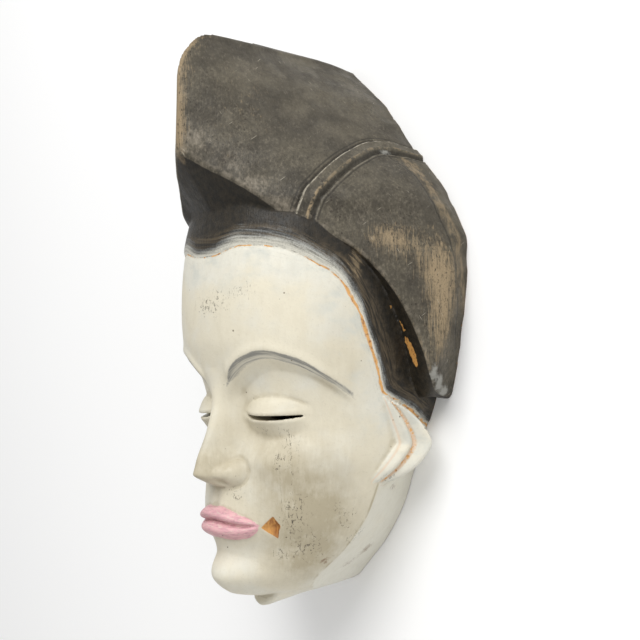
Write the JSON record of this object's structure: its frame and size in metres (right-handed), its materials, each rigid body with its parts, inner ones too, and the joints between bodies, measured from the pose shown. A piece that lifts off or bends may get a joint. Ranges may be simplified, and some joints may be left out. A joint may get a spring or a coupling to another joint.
{
  "type": "punu mask",
  "caption": "Carved wooden dance mask with a white kaolin face, pink lips, pierced eyes and a dark crested coiffure, hollow behind.",
  "frame": {"origin": "centre of the bounding box at the plane of the flat rear rim", "axes": "+X to the mask's own left, +Y up to the crest, +Z out of the face, which points up as the mask lies on its rim"},
  "size_m": [0.1992, 0.325, 0.127],
  "materials": {
    "painted_wood": "white kaolin on the face, worn black-brown on the carved hair, bare wood behind"
  },
  "bodies": {
    "root": {"mask": "painted_wood"}
  },
  "joints": []
}
